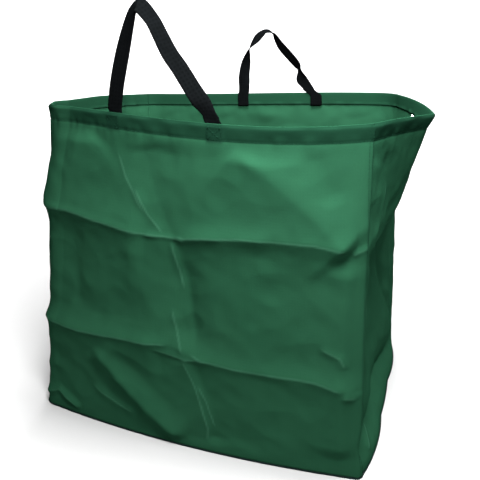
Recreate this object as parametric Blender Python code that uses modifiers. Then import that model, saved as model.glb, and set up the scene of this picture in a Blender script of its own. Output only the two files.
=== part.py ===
"""Garden waste bag: an open bag of coated cloth that stands by itself on a flat base.

Two wall strips, each folded round one corner, go round the bag. Each strip's last edge laps
over the next strip's first edge, at the front right and the back left corner. The top of both
strips is folded inwards as a hem, two handles of flat webbing are sewn to the hem's inner
face, and a blank label hangs from the hem at the right end. The walls keep the main creases of
a bag that was folded flat.

Metres, +Z up. The origin is the middle of the base, on the ground. +X runs along the front
panel to the right and +Y to the back.
"""
import math
from functools import lru_cache

import bmesh
import bpy
import numpy as np
from mathutils import Vector

# Base and walls
LENGTH = 0.606
WIDTH = 0.478
HEIGHT = 0.557
CLOTH = 0.001
GAP = 0.0003
BASE_THICKNESS = 0.002
BASE_LIP = 0.0012
FOOT_GAP = 0.0006
FOOT = BASE_THICKNESS + FOOT_GAP

# Hem and lapped seams
HEM = 0.025
FOLD_RADIUS = 0.0009
SEAM_LAP = 0.008
SEAM_STEP = 0.014
HEM_END_GAP = 0.003

# Top edge and gussets
FRONT_BELLY = 0.032
FRONT_SAG = 0.008
RIGHT_TUCK = 0.072
LEFT_BULGE = 0.032
RIGHT_BULGE = 0.050

# Handles
WEBBING_WIDTH = 0.025
WEBBING_THICKNESS = 0.0014
HANDLE_SPACING = 0.166
FRONT_HANDLE_HEIGHT = 0.147
REAR_HANDLE_HEIGHT = 0.128
FRONT_HANDLE_SHIFT = -0.026
REAR_HANDLE_SHIFT = -0.038
SEWN_LENGTH = 0.027
SEWN_GAP = 0.0006
BEND_RISE = 0.008
LEVEL_LENGTH = 0.030
TIP_GAP = 0.0003
TIP_ANGLE = math.radians(13)

# Label
LABEL_WIDTH = 0.030
LABEL_DROP = 0.045
LABEL_THICKNESS = 0.0004
LABEL_SHARE = 0.53
LABEL_GAP = 0.0005
LABEL_STAND = 0.007

# Shape of the top edge, as moves of each corner post from its place on the base rectangle:
# side of the rectangle (x, y), move at the foot, move at the rim, inward or outward move at
# mid-height, corner radius at the foot and at the rim, and rise of the rim
POSTS = (
    ("front_left", (-1, -1), (0.000, 0.008), (0.044, 0.027), 0.012, (0.030, 0.090), 0.008),
    ("front_right", (1, -1), (-0.004, 0.004), (-0.029, 0.018), 0.0, (0.012, 0.030), 0.0),
    ("right_crease", (1, 0), (0.022, 0.000), (RIGHT_BULGE, -0.052), -RIGHT_TUCK, (0.060, 0.006), -0.001),
    ("back_right", (1, 1), (0.013, 0.013), (-0.028, 0.004), 0.012, (0.020, 0.050), 0.009),
    ("back_left", (-1, 1), (-0.002, 0.004), (0.006, -0.001), 0.0, (0.020, 0.050), -0.004),
    ("left_bulge", (-1, 0), (-0.009, 0.000), (-LEFT_BULGE, 0.030), 0.0, (0.060, 0.120), 0.002),
)
FRONT_LEFT, FRONT_RIGHT, RIGHT_CREASE, BACK_RIGHT, BACK_LEFT = range(5)

# How far each side bows out between its posts, at the foot and at the rim
BOWS = (
    (0.020, FRONT_BELLY),
    (0.003, -0.008),
    (0.004, 0.012),
    (0.004, 0.006),
    (0.004, 0.004),
    (0.004, 0.010),
)

# The bag was folded flat, so its folds sit at set shares of the height. Their heights are given
# as they were read on a wall of this height, and move with HEIGHT from there.
FOLDS_READ_AT = 0.557
FOLD_STRETCH = HEIGHT / FOLDS_READ_AT

# Height of the two creases round the bag, along each panel
LEVEL_CREASES = {
    "front": (((-0.300, 0.182), (-0.188, 0.178), (-0.098, 0.183), (-0.009, 0.190), (0.032, 0.180),
               (0.096, 0.171), (0.202, 0.168), (0.275, 0.160)),
              ((-0.300, 0.398), (-0.190, 0.393), (-0.094, 0.383), (-0.024, 0.381), (0.105, 0.371),
               (0.275, 0.370))),
    "right": (((-0.230, 0.160), (0.240, 0.184)), ((-0.230, 0.370), (0.240, 0.380))),
    "back": (((-0.300, 0.182), (0.280, 0.184)), ((-0.300, 0.388), (0.280, 0.380))),
    "left": (((-0.240, 0.182), (0.240, 0.182)), ((-0.240, 0.398), (0.240, 0.388))),
}

# Other folds of each panel: points along the panel and up it, how far the fold stands out, its
# reach on the left and on the right of its direction, and how far its ends fade
PANEL_FOLDS = {
    "front": (
        (((-0.050, 0.525), (-0.031, 0.448), (-0.009, 0.401), (0.004, 0.381), (0.018, 0.280),
          (0.030, 0.176), (0.060, 0.010)), -0.006, 0.130, 0.060, 0.020),
        (((-0.131, 0.533), (-0.187, 0.473), (-0.262, 0.405)), 0.006, 0.080, 0.080, 0.020),
        (((0.262, 0.378), (0.189, 0.446), (0.088, 0.530)), 0.006, 0.100, 0.110, 0.020),
        (((-0.165, 0.165), (-0.140, 0.135), (-0.093, 0.090), (-0.045, 0.050), (0.010, 0.012)),
         0.006, 0.035, 0.050, 0.030),
    ),
    "right": (),
    "back": ((((-0.020, 0.520), (0.010, 0.010)), 0.004, 0.060, 0.060, 0.030),),
    "left": ((((0.010, 0.500), (0.000, 0.020)), -0.006, 0.070, 0.070, 0.030),),
}

# Panels: first post, number of sides, and plan axis that runs along the panel
PANELS = {
    "front": (FRONT_LEFT, 1, 0),
    "right": (FRONT_RIGHT, 2, 1),
    "back": (BACK_RIGHT, 1, 0),
    "left": (BACK_LEFT, 2, 1),
}

# How far the lower and the upper crease stand out on each panel
CREASE_DEPTHS = {
    "front": (0.007, 0.008),
    "right": (0.0, 0.0),
    "back": (0.004, 0.005),
    "left": (0.004, 0.006),
}
CREASE_REACH = (0.045, 0.080)
CREASE_ROUNDING = 0.0015
PANEL_BLEND = 0.08

# How far the folds fade out beside the foot and the hem, and beside the lapped seams
FOLD_MARGIN = 0.045
SEAM_MARGIN = 0.020

# Each handle's middle line: along as a share of half the spacing, up as a share of the
# handle's height above the rim, and how far the flat of the webbing is turned, in degrees
FRONT_LINE = (
    (-0.940, 0.270, 0), (-0.805, 0.565, 4), (-0.643, 0.857, 22), (-0.548, 0.966, 35),
    (-0.447, 0.998, 47), (-0.198, 0.871, 60), (-0.047, 0.742, 58), (0.124, 0.592, 50),
    (0.328, 0.460, 46), (0.565, 0.290, 42), (0.740, 0.173, 34), (0.850, 0.095, 10),
)
FRONT_CROSSINGS = (-1.0, 0.910)
REAR_LINE = (
    (-0.950, 0.310, 35), (-0.900, 0.487, 50), (-0.840, 0.640, 80), (-0.780, 0.752, 108),
    (-0.585, 0.890, 140), (-0.420, 0.971, 132), (-0.304, 1.000, 112), (-0.196, 0.977, 92),
    (-0.096, 0.922, 60), (0.051, 0.773, 42), (0.259, 0.624, 38), (0.500, 0.452, 44),
    (0.560, 0.365, 60), (0.620, 0.221, 14),
)
REAR_CROSSINGS = (-0.965, 0.800)

# Fineness of the meshes
ARC_STEPS = 16
EDGE_STEPS = 40
CORNER_OFFSETS = (0.0, 0.007, 0.018, 0.042)
LONG_COLUMNS = 18
SHORT_COLUMNS = 6
FOOT_ROWS = (0.0, 0.030, 0.070)
LOWER_ROWS = (-0.045, -0.010, 0.0, 0.012, 0.045)
UPPER_ROWS = (-0.080, -0.035, -0.010, 0.0, 0.012, 0.045)
TOP_ROWS = (0.065, HEM, FOLD_RADIUS)
BODY_ROWS = len(FOOT_ROWS + LOWER_ROWS + UPPER_ROWS + TOP_ROWS) - 1
FOLD_STEPS = 4
HEM_ROWS = 3
WEBBING_STEP = 0.006

GREEN = (0.030, 0.135, 0.062)
DARK_GREEN = (0.010, 0.035, 0.020)
BLACK = (0.012, 0.013, 0.014)
WHITE = (0.80, 0.82, 0.80)


def clear_scene():
    for item in list(bpy.data.objects):
        bpy.data.objects.remove(item, do_unlink=True)


def material(name, colour, roughness):
    made = bpy.data.materials.new(name)
    made.use_nodes = True
    shader = made.node_tree.nodes["Principled BSDF"]
    shader.inputs["Base Color"].default_value = (*colour, 1.0)
    shader.inputs["Roughness"].default_value = roughness
    shader.inputs["Metallic"].default_value = 0.0
    return made


def smooth(share):
    share = min(max(share, 0.0), 1.0)
    return share * share * (3.0 - 2.0 * share)


def post_at(index, height):
    """Plan position of a corner post, and its corner radius, at a share of the height."""
    _, side, foot, rim, tuck, radius, _ = POSTS[index]
    rectangle = Vector((side[0] * LENGTH / 2, side[1] * WIDTH / 2))
    move = Vector(foot).lerp(Vector(rim), height)
    move.x += tuck * math.sin(math.pi * height)
    return rectangle + move, radius[0] + (radius[1] - radius[0]) * height


@lru_cache(maxsize=None)
def ring(height):
    """The walls' plan line at a share of the height, anticlockwise from the front left post.

    Gives dense points, outward normals, the distance along the line, and the distance at
    which each post's corner is turned half way.
    """
    count = len(POSTS)
    posts = [post_at(index, height) for index in range(count)]
    points = []
    halfway = []
    for index in range(count):
        here, radius = posts[index]
        before = (posts[index - 1][0] - here).normalized() * radius
        after = (posts[(index + 1) % count][0] - here).normalized() * radius
        halfway.append(len(points) + ARC_STEPS // 2)
        for step in range(ARC_STEPS + 1):
            t = step / ARC_STEPS
            points.append(here + before * (1 - t) ** 2 + after * t ** 2)
        following, next_radius = posts[(index + 1) % count]
        end = following + (here - following).normalized() * next_radius
        start = points[-1]
        outward = Vector((end.y - start.y, start.x - end.x)).normalized()
        foot_bow, rim_bow = BOWS[index]
        bow = foot_bow + (rim_bow - foot_bow) * height
        for step in range(1, EDGE_STEPS):
            t = step / EDGE_STEPS
            points.append(start.lerp(end, t) + outward * bow * 4 * t * (1 - t))
    line = np.array([tuple(p) for p in points])
    turns = np.vstack([line[-1], line, line[0]])
    tangent = turns[2:] - turns[:-2]
    normal = np.stack([tangent[:, 1], -tangent[:, 0]], axis=1)
    normal /= np.linalg.norm(normal, axis=1)[:, None]
    step_length = np.linalg.norm(np.diff(np.vstack([line, line[:1]]), axis=0), axis=1)
    distance = np.concatenate([[0.0], np.cumsum(step_length)])
    return line, normal, distance, [distance[i] for i in halfway]


def on_ring(height, post, share, along, inward):
    """Plan point at a share of the side that follows a post, moved along and inwards."""
    line, normal, distance, halfway = ring(height)
    total = distance[-1]
    start = halfway[post % 6]
    length = (halfway[(post + 1) % 6] - start) % total
    place = (start + share * length + along) % total
    x = np.interp(place, distance, np.append(line[:, 0], line[0, 0]))
    y = np.interp(place, distance, np.append(line[:, 1], line[0, 1]))
    nx = np.interp(place, distance, np.append(normal[:, 0], normal[0, 0]))
    ny = np.interp(place, distance, np.append(normal[:, 1], normal[0, 1]))
    scale = inward / math.hypot(nx, ny)
    return Vector((x - nx * scale, y - ny * scale)), (share + along / length)


def rim_height(post, share):
    """Height of the top edge at a share of the side that follows a post."""
    rises = [entry[6] for entry in POSTS]
    blend = smooth(share)
    rise = rises[post % 6] * (1 - blend) + rises[(post + 1) % 6] * blend
    if post % 6 == FRONT_LEFT:
        rise -= FRONT_SAG * 6.75 * max(share, 0.0) ** 2 * max(1 - share, 0.0)
    return HEIGHT + rise


def wall_point(post, share, along, height, inward=0.0, lift=0.0):
    """A point of the walls' middle surface. Height is 0 at the foot and 1 at the rim."""
    plan, place = on_ring(height, post, share, along, inward)
    return Vector((plan.x, plan.y, FOOT + height * (rim_height(post, place) - FOOT) + lift))


def near_line(along, z, points):
    """Distance to a line of points, its side, and the way along it to its start and its end."""
    nearest = math.inf
    found = None
    gone = 0.0
    for (start_along, start_z), (end_along, end_z) in zip(points[:-1], points[1:]):
        run, rise = end_along - start_along, end_z - start_z
        length = math.hypot(run, rise)
        t = ((along - start_along) * run + (z - start_z) * rise) / length ** 2
        t = min(max(t, 0.0), 1.0)
        apart = math.hypot(along - start_along - t * run, z - start_z - t * rise)
        if apart < nearest:
            nearest = apart
            on_left = run * (z - start_z) > rise * (along - start_along)
            found = (on_left, gone + t * length)
        gone += length
    return nearest, found[0], found[1], gone - found[1]


def fold_height(along, z, fold):
    """How far one fold stands out at a point of its panel."""
    points, depth, left_reach, right_reach, fade = fold
    apart, on_left, before, after = near_line(along, z, points)
    reach = left_reach if on_left else right_reach
    share = max(1 - math.hypot(apart, CREASE_ROUNDING) / reach, 0.0) ** 2
    ends = smooth(before / fade) * smooth(after / fade) if fade else 1.0
    return depth * share * ends


def panel_share(name, place):
    """How much a place round the bag belongs to a panel."""
    first, sides = PANELS[name][:2]
    gap = abs((place - first - sides / 2 + 3) % 6 - 3)
    return smooth((sides / 2 + PANEL_BLEND / 2 - gap) / PANEL_BLEND)


def seam_distance(post, share, along, height):
    """Distance round the wall from the nearer lapped seam."""
    _, _, distance, halfway = ring(height)
    total = distance[-1]
    start = halfway[post % 6]
    length = (halfway[(post + 1) % 6] - start) % total
    here = start + share * length + along
    gaps = [(here - halfway[seam] + total / 2) % total - total / 2 for seam in (FRONT_RIGHT, BACK_LEFT)]
    return min(abs(gap) for gap in gaps)


def wall_relief(post, share, along, height):
    """How far the folds stand out at a point of the walls."""
    plan, place = on_ring(height, post, share, along, 0.0)
    rim = rim_height(post, place)
    z = FOOT + height * (rim - FOOT)
    total = 0.0
    for name, (_, _, axis) in PANELS.items():
        weight = panel_share(name, post + place)
        if weight == 0.0:
            continue
        creases = zip(LEVEL_CREASES[name], CREASE_DEPTHS[name])
        folds = [(points, depth, *CREASE_REACH, 0.0) for points, depth in creases]
        total += weight * sum(
            fold_height(plan[axis], z / FOLD_STRETCH, fold) for fold in (*folds, *PANEL_FOLDS[name])
        )
    free = smooth((rim - z - HEM) / FOLD_MARGIN) * smooth(z / FOLD_MARGIN)
    beside_seam = seam_distance(post, share, along, height) - SEAM_LAP
    return total * free * smooth(beside_seam / SEAM_MARGIN)


def crease_height(post, share, along, crease):
    """Height of the lower (0) or the upper (1) crease at a place round the bag."""
    plan, place = on_ring(0.5, post, share, along, 0.0)
    weights = {name: panel_share(name, post + place) for name in PANELS}
    heights = {
        name: np.interp(plan[axis], *zip(*LEVEL_CREASES[name][crease]))
        for name, (_, _, axis) in PANELS.items()
    }
    return FOLD_STRETCH * sum(weights[name] * heights[name] for name in PANELS) / sum(weights.values())


def rim_point(post, along, inward, up):
    """A point at the middle of a side, moved along and inwards, measured up from the rim."""
    height = 1.0 + min(up, 0.0) / HEIGHT
    return wall_point(post, 0.5, along, height, inward, max(up, 0.0))


def solidify(item, thickness, group=""):
    shell = item.modifiers.new("thickness", "SOLIDIFY")
    shell.thickness = thickness
    shell.offset = 0.0
    shell.use_even_offset = not group
    if group:
        shell.vertex_group = group
        shell.thickness_vertex_group = 0.0


def sheet(name, columns, rows, place, thickness, finish, collection,
          origin=None, weight=None, skip=None):
    """A grid of columns by rows laid out by place(column, row) and made into a thin solid."""
    grid = bmesh.new()
    bmesh.ops.create_grid(grid, x_segments=columns - 1, y_segments=rows - 1, size=1.0)
    origin = origin or Vector((0, 0, 0))
    keys = {}
    for vertex in grid.verts:
        column = round((vertex.co.x + 1) / 2 * (columns - 1))
        row = round((vertex.co.y + 1) / 2 * (rows - 1))
        keys[vertex] = (column, row)
    if skip:
        unwanted = [face for face in grid.faces if skip(*face_corner(face, keys))]
        bmesh.ops.delete(grid, geom=unwanted, context="FACES")
    for vertex in grid.verts:
        vertex.co = place(*keys[vertex]) - origin
    places = [keys[vertex] for vertex in grid.verts]
    mesh = bpy.data.meshes.new(name)
    grid.to_mesh(mesh)
    grid.free()
    mesh.materials.append(finish)
    mesh.shade_smooth()
    item = bpy.data.objects.new(name, mesh)
    item.location = origin
    collection.objects.link(item)
    group = ""
    if weight:
        group = "thickness"
        made = item.vertex_groups.new(name=group)
        for index, (column, row) in enumerate(places):
            made.add([index], weight(column, row), "REPLACE")
    solidify(item, thickness, group)
    return item


def face_corner(face, keys):
    """The lowest column and row among a face's corners."""
    columns = [keys[vertex][0] for vertex in face.verts]
    rows = [keys[vertex][1] for vertex in face.verts]
    return min(columns), min(rows)


def strip_columns(first_post):
    """Places across a wall strip, from its first post to past its last one."""
    columns = []
    for side in range(3):
        post = first_post + side
        long_side = post % 6 in (FRONT_LEFT, BACK_RIGHT)
        inner = LONG_COLUMNS if long_side else SHORT_COLUMNS
        reach = CORNER_OFFSETS[-1]
        columns += [(post, 0.0, offset) for offset in CORNER_OFFSETS]
        for step in range(1, inner + 1):
            share = step / (inner + 1)
            columns.append((post, share, reach * (1 - 2 * share)))
        columns += [(post, 1.0, -offset) for offset in reversed(CORNER_OFFSETS[1:])]
    last = first_post + 3
    columns[-1:] = [(last - 1, 1.0, -CORNER_OFFSETS[1]), (last - 1, 1.0, -HEM_END_GAP)]
    columns += [(last, 0.0, 0.0), (last, 0.0, SEAM_LAP / 2), (last, 0.0, SEAM_LAP)]
    return columns


def body_heights(post, share, along):
    """Shares of the height for the rows of a column, set close beside the two creases."""
    _, place = on_ring(0.5, post, share, along, 0.0)
    rim = rim_height(post, place)
    lower, upper = (crease_height(post, share, along, crease) for crease in (0, 1))
    heights = [FOOT + z for z in FOOT_ROWS]
    heights += [lower + z for z in LOWER_ROWS] + [upper + z for z in UPPER_ROWS]
    shares = [(z - FOOT) / (rim - FOOT) for z in heights]
    return shares + [1.0 - drop / HEIGHT for drop in TOP_ROWS]


def hem_rows():
    """Rows of the folded top edge, as a share of the height and a distance inwards."""
    rows = []
    body_top = 1.0 - FOLD_RADIUS / HEIGHT
    for step in range(1, FOLD_STEPS + 1):
        angle = math.pi * step / FOLD_STEPS
        rows.append((body_top + FOLD_RADIUS * math.sin(angle) / HEIGHT, FOLD_RADIUS * (1 - math.cos(angle))))
    for step in range(1, HEM_ROWS + 1):
        rows.append((body_top - (HEM - FOLD_RADIUS) * step / HEM_ROWS / HEIGHT, 2 * FOLD_RADIUS))
    return rows


def wall_strip(name, first_post, finish, collection):
    """One wall strip: three sides of the bag, its hem, and the lap past its last corner."""
    columns = strip_columns(first_post)
    body = [body_heights(*column) for column in columns]
    top = hem_rows()
    last = first_post + 3

    def distance_in(column):
        post, share, along = columns[column]
        _, _, _, halfway = ring(1.0)
        total = ring(1.0)[2][-1]
        start = halfway[first_post % 6]
        here = halfway[post % 6]
        length = (halfway[(post + 1) % 6] - here) % total
        return (here - start) % total + share * length + along if post != last else total

    def place(column, row):
        post, share, along = columns[column]
        height, inward = top[row - BODY_ROWS - 1] if row > BODY_ROWS else (body[column][row], 0.0)
        inward += (CLOTH + GAP) * (1 - smooth((distance_in(column) - SEAM_LAP - 0.003) / SEAM_STEP))
        inward -= wall_relief(post, share, along, height)
        return wall_point(post, share, along, height, inward)

    def skip(column, row):
        past_hem = column >= len(columns) - 4
        return past_hem and row >= BODY_ROWS

    row_count = BODY_ROWS + 1 + len(top)
    return sheet(name, len(columns), row_count, place, CLOTH, finish, collection, skip=skip)


def base_panel(finish, collection):
    """The flat base under the walls' feet, a little proud of them all round."""
    outline = []
    for first_post in (BACK_LEFT, FRONT_RIGHT):
        for post, share, along in strip_columns(first_post)[:-3]:
            plan, _ = on_ring(0.0, post, share, along, -(CLOTH / 2 + BASE_LIP))
            outline.append(plan)
    curve = bpy.data.curves.new("base_panel", "CURVE")
    curve.dimensions = "2D"
    curve.fill_mode = "BOTH"
    curve.extrude = BASE_THICKNESS / 2
    spline = curve.splines.new("POLY")
    spline.points.add(len(outline) - 1)
    for point, plan in zip(spline.points, outline):
        point.co = (plan.x, plan.y, 0.0, 1.0)
    spline.use_cyclic_u = True
    curve.materials.append(finish)
    item = bpy.data.objects.new("base_panel", curve)
    item.location = (0, 0, BASE_THICKNESS / 2)
    collection.objects.link(item)
    return item


def tip_weight(distance):
    """Share of the webbing's thickness at a distance from the line that it bends on."""
    return min(1.0, 2 * distance * math.tan(TIP_ANGLE) / WEBBING_THICKNESS)


def handle_frame(post, shift, crossings, mirrored):
    """The line that a handle bends on: its middle, its direction and its outward side."""
    inward = 2 * FOLD_RADIUS + CLOTH / 2 + SEWN_GAP + WEBBING_THICKNESS / 2
    sign = -1 if mirrored else 1
    roots = [rim_point(post, shift + sign * side * HANDLE_SPACING / 2, inward, BEND_RISE) for side in (-1, 1)]
    middle = (roots[0] + roots[1]) / 2
    along = (roots[1] - roots[0]).normalized()
    outward = along.cross(Vector((0, 0, 1))).normalized() * sign
    up = outward.cross(along) * sign
    return {
        "post": post, "shift": shift, "sign": sign, "inward": inward, "crossings": crossings,
        "middle": middle, "along": along, "outward": outward, "up": up,
    }


def sewn_end(name, frame, side, finish, collection):
    """The end of a handle that is sewn flat to the hem, up to the line where it bends."""
    heights = (-SEWN_LENGTH, -0.6 * SEWN_LENGTH, -0.25 * SEWN_LENGTH, 0.0,
               0.4 * BEND_RISE, BEND_RISE - 2.3 * WEBBING_THICKNESS, BEND_RISE - TIP_GAP)
    crossing = frame["crossings"][0 if side < 0 else 1] * HANDLE_SPACING / 2
    slant = crossing - side * HANDLE_SPACING / 2

    def place(column, row):
        up = heights[row]
        across = (column / 4 - 0.5) * WEBBING_WIDTH
        drift = slant * smooth((up + 0.25 * SEWN_LENGTH) / (0.25 * SEWN_LENGTH + BEND_RISE))
        along = side * HANDLE_SPACING / 2 + across + drift
        on_hem = rim_point(frame["post"], frame["shift"] + frame["sign"] * along, frame["inward"], up)
        on_line = frame["middle"] + frame["along"] * along + frame["up"] * (up - BEND_RISE)
        return on_hem.lerp(on_line, smooth(up / (0.6 * BEND_RISE)))

    def weight(column, row):
        return tip_weight(BEND_RISE - heights[row])

    return sheet(name, 5, len(heights), place, WEBBING_THICKNESS, finish, collection, weight=weight)


def smooth_line(knots, step):
    """Points an even step apart on a curve through the knots, with their turn angles."""
    knots = np.array(knots)
    padded = np.vstack([2 * knots[0] - knots[1], knots, 2 * knots[-1] - knots[-2]])
    dense = []
    for index in range(len(knots) - 1):
        a, b, c, d = padded[index:index + 4]
        for t in np.linspace(0, 1, 12, endpoint=False):
            dense.append(0.5 * (2 * b + (c - a) * t + (2 * a - 5 * b + 4 * c - d) * t ** 2
                                + (3 * b - a - 3 * c + d) * t ** 3))
    dense = np.array(dense + [knots[-1]])
    distance = np.concatenate([[0], np.cumsum(np.linalg.norm(np.diff(dense[:, :2], axis=0), axis=1))])
    taper = 2.3 * WEBBING_THICKNESS
    inner = np.linspace(taper, distance[-1] - taper, max(8, round(distance[-1] / step)))
    places = np.concatenate([[0.0], inner, [distance[-1]]])
    return np.stack([np.interp(places, distance, dense[:, axis]) for axis in range(3)], axis=1)


def handle_loop(name, frame, line, height, finish, collection):
    """The free part of a handle, from one crossing of its bend line to the other."""
    half = HANDLE_SPACING / 2
    first, last = frame["crossings"]
    knots = [(first * half, TIP_GAP, 0.0)]
    knots += [(along * half, up * height - BEND_RISE, turn) for along, up, turn in line]
    knots += [(last * half, TIP_GAP, 0.0)]
    stations = smooth_line(knots, WEBBING_STEP)
    tangents = np.gradient(stations[:, :2], axis=0)
    tangents /= np.linalg.norm(tangents, axis=1)[:, None]

    def place(column, row):
        along, up, turn = stations[row]
        turn = math.radians(turn)
        side = 1.0 if row < len(stations) / 2 else -1.0
        level = Vector((side, 0.0))
        square = Vector((tangents[row][1], -tangents[row][0]))
        turn *= smooth(up / LEVEL_LENGTH)
        across_line = level.lerp(square, smooth(up / LEVEL_LENGTH)).normalized()
        flat = frame["along"] * across_line.x + frame["up"] * across_line.y
        across = flat * math.cos(turn) + frame["outward"] * math.sin(turn)
        centre = frame["middle"] + frame["along"] * along + frame["up"] * up
        return centre + across * (column / 4 - 0.5) * WEBBING_WIDTH

    def weight(column, row):
        return tip_weight(stations[row][1])

    return sheet(name, 5, len(stations), place, WEBBING_THICKNESS, finish, collection,
                 origin=frame["middle"], weight=weight)


def handle(name, post, shift, line, crossings, height, mirrored, finish, collection):
    frame = handle_frame(post, shift, crossings, mirrored)
    sewn_end(name + "_left_end", frame, -1, finish, collection)
    sewn_end(name + "_right_end", frame, 1, finish, collection)
    handle_loop(name + "_loop", frame, line, height, finish, collection)
    print(name, "bend line", [round(v, 4) for v in frame["middle"]], [round(v, 4) for v in frame["along"]])


def care_label(finish, collection):
    """A blank label that hangs from the lower edge of the hem, inside the right end."""
    top = 1.0 - HEM / HEIGHT
    inward = 2 * FOLD_RADIUS

    def hem_edge(along):
        return wall_point(RIGHT_CREASE, LABEL_SHARE, along, top, inward, -LABEL_GAP)

    left = hem_edge(LABEL_WIDTH / 2)
    right = hem_edge(-LABEL_WIDTH / 2)
    middle = (left + right) / 2
    across = (right - left).normalized()
    low = wall_point(RIGHT_CREASE, LABEL_SHARE, 0.0, top - LABEL_DROP / HEIGHT, inward + LABEL_STAND)
    fall = low - middle
    down = (fall - across * fall.dot(across)).normalized()

    def place(column, row):
        return middle + across * (column / 2 - 0.5) * LABEL_WIDTH + down * (TIP_GAP + row / 3 * LABEL_DROP)

    sheet("care_label", 3, 4, place, LABEL_THICKNESS, finish, collection, origin=middle)
    print("care_label hinge", [round(v, 4) for v in middle], [round(v, 4) for v in across])


def build():
    clear_scene()
    bag = bpy.data.collections.new("garden_waste_bag")
    bpy.context.scene.collection.children.link(bag)
    cloth = material("green_cloth", GREEN, 0.45)
    base = material("base_cloth", DARK_GREEN, 0.6)
    webbing = material("black_webbing", BLACK, 0.75)
    label = material("label_tape", WHITE, 0.6)
    base_panel(base, bag)
    wall_strip("wall_front_left", BACK_LEFT, cloth, bag)
    wall_strip("wall_back_right", FRONT_RIGHT, cloth, bag)
    handle("front_handle", FRONT_LEFT, FRONT_HANDLE_SHIFT, FRONT_LINE, FRONT_CROSSINGS,
           FRONT_HANDLE_HEIGHT, False, webbing, bag)
    handle("rear_handle", BACK_RIGHT, REAR_HANDLE_SHIFT, REAR_LINE, REAR_CROSSINGS,
           REAR_HANDLE_HEIGHT, True, webbing, bag)
    care_label(label, bag)


build()
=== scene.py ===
"""The looks of a garden waste bag: cloth walls with folds and hems, seams, handles and a label.

Metres, +Z up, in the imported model's frame: the middle of the base is at the origin, +X runs
along the front panel to the right and +Y to the back. Each cloth piece follows the same corner
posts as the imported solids, with the folds, hems and stitches that those leave out.
"""
import math

import bmesh
import bpy
import numpy as np
from mathutils import Matrix, Vector


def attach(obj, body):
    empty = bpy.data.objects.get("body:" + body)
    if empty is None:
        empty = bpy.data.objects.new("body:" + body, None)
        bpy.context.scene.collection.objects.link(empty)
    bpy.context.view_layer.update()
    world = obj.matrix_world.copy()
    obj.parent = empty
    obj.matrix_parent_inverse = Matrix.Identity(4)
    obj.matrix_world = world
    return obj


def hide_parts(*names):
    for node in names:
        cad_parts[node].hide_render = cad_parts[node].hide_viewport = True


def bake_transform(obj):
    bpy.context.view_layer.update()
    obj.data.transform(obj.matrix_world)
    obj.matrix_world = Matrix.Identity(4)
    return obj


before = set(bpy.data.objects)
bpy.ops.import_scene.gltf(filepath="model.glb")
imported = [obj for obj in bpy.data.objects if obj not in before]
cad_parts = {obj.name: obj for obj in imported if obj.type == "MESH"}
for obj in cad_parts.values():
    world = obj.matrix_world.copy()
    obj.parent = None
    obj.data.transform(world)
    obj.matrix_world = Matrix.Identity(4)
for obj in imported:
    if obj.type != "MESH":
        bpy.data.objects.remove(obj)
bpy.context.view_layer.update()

# Base and walls
LENGTH = 0.606
WIDTH = 0.478
HEIGHT = 0.557
FOOT_HEIGHT = 0.0026

# Hem and lapped seams. A strip's first edge steps in under the lap of the other strip.
HEM = 0.025
FOLD_RADIUS = 0.0009
SEAM_LAP = 0.008
SEAM_STEP = 0.014
LAP_IN = 0.0013
LAP_MARGIN = 0.003

# Top edge and ends. Above a share of the height, part of the ends' tuck is let out.
FRONT_BELLY = 0.032
FRONT_SAG = 0.008
SAG_SCALE = 27 / 4  # the sag's curve peaks at 4 / 27
RIGHT_TUCK = 0.072
LEFT_BULGE = 0.024
RIGHT_BULGE = 0.05
UPPER_TUCK = 0.58
UPPER_TUCK_FROM = 0.55
UPPER_TUCK_RAMP = 0.25

# Handles
WEBBING_WIDTH = 0.025
WEBBING_THICKNESS = 0.0014
HANDLE_SPACING = 0.166
FRONT_HANDLE_HEIGHT = 0.147
REAR_HANDLE_HEIGHT = 0.128
FRONT_HANDLE_SHIFT = -0.0325
REAR_HANDLE_SHIFT = -0.038
SEWN_LENGTH = 0.027
STRAP_INWARD = 0.0036
BEND_RISE = 0.008
LEVEL_LENGTH = 0.03
LOOP_START = 0.0005
WEBBING_COLUMNS = 14
WEBBING_ROW = 0.0025
SEWN_ROWS = 14

# Label: LABEL_STAND is how far in it hangs at its top, and how much more at its end
LABEL_WIDTH = 0.03
LABEL_LENGTH = 0.0445
LABEL_THICKNESS = 0.0003
LABEL_SHARE = 0.53
LABEL_DROP = HEM + 0.0008
LABEL_STAND = (0.0022, 0.0065)
LABEL_WAVE = 0.0012
LABEL_COLUMNS = 9
LABEL_ROWS = 13

# Corner posts: side of the base rectangle, move at the foot, move at the rim, move at mid-height,
# corner radius at the foot and at the rim, rise of the rim
POSTS = (
    ((-1, -1), (-0.002, 0.008), (0.061, 0.03), -0.002, (0.03, 0.055), 0.008),
    ((1, -1), (0.001, 0.004), (-0.029, 0.018), 0.0, (0.012, 0.016), 0.0),
    ((1, 0), (0.022, 0.0), (RIGHT_BULGE, -0.052), -RIGHT_TUCK, (0.06, 0.006), -0.001),
    ((1, 1), (0.013, 0.013), (-0.028, 0.004), 0.012, (0.02, 0.05), 0.009),
    ((-1, 1), (-0.002, 0.004), (0.006, -0.001), 0.0, (0.02, 0.05), -0.004),
    ((-1, 0), (-0.009, 0.0), (-LEFT_BULGE, 0.03), -0.006, (0.06, 0.12), 0.002),
)
FRONT_LEFT, FRONT_RIGHT, RIGHT_CREASE, BACK_RIGHT, BACK_LEFT = range(5)
SIDES = len(POSTS)

# How far each side bows out between its posts, at the foot and at the rim
BOWS = (
    (0.02, FRONT_BELLY), (0.008, -0.006), (0.009, 0.012),
    (0.004, 0.006), (0.004, 0.004), (0.004, 0.01),
)

# Where the handles are sewn on: post before the side, shift along it, and the way of its left end
STRAPS = ((FRONT_LEFT, FRONT_HANDLE_SHIFT, 1), (BACK_RIGHT, REAR_HANDLE_SHIFT, -1))

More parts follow.
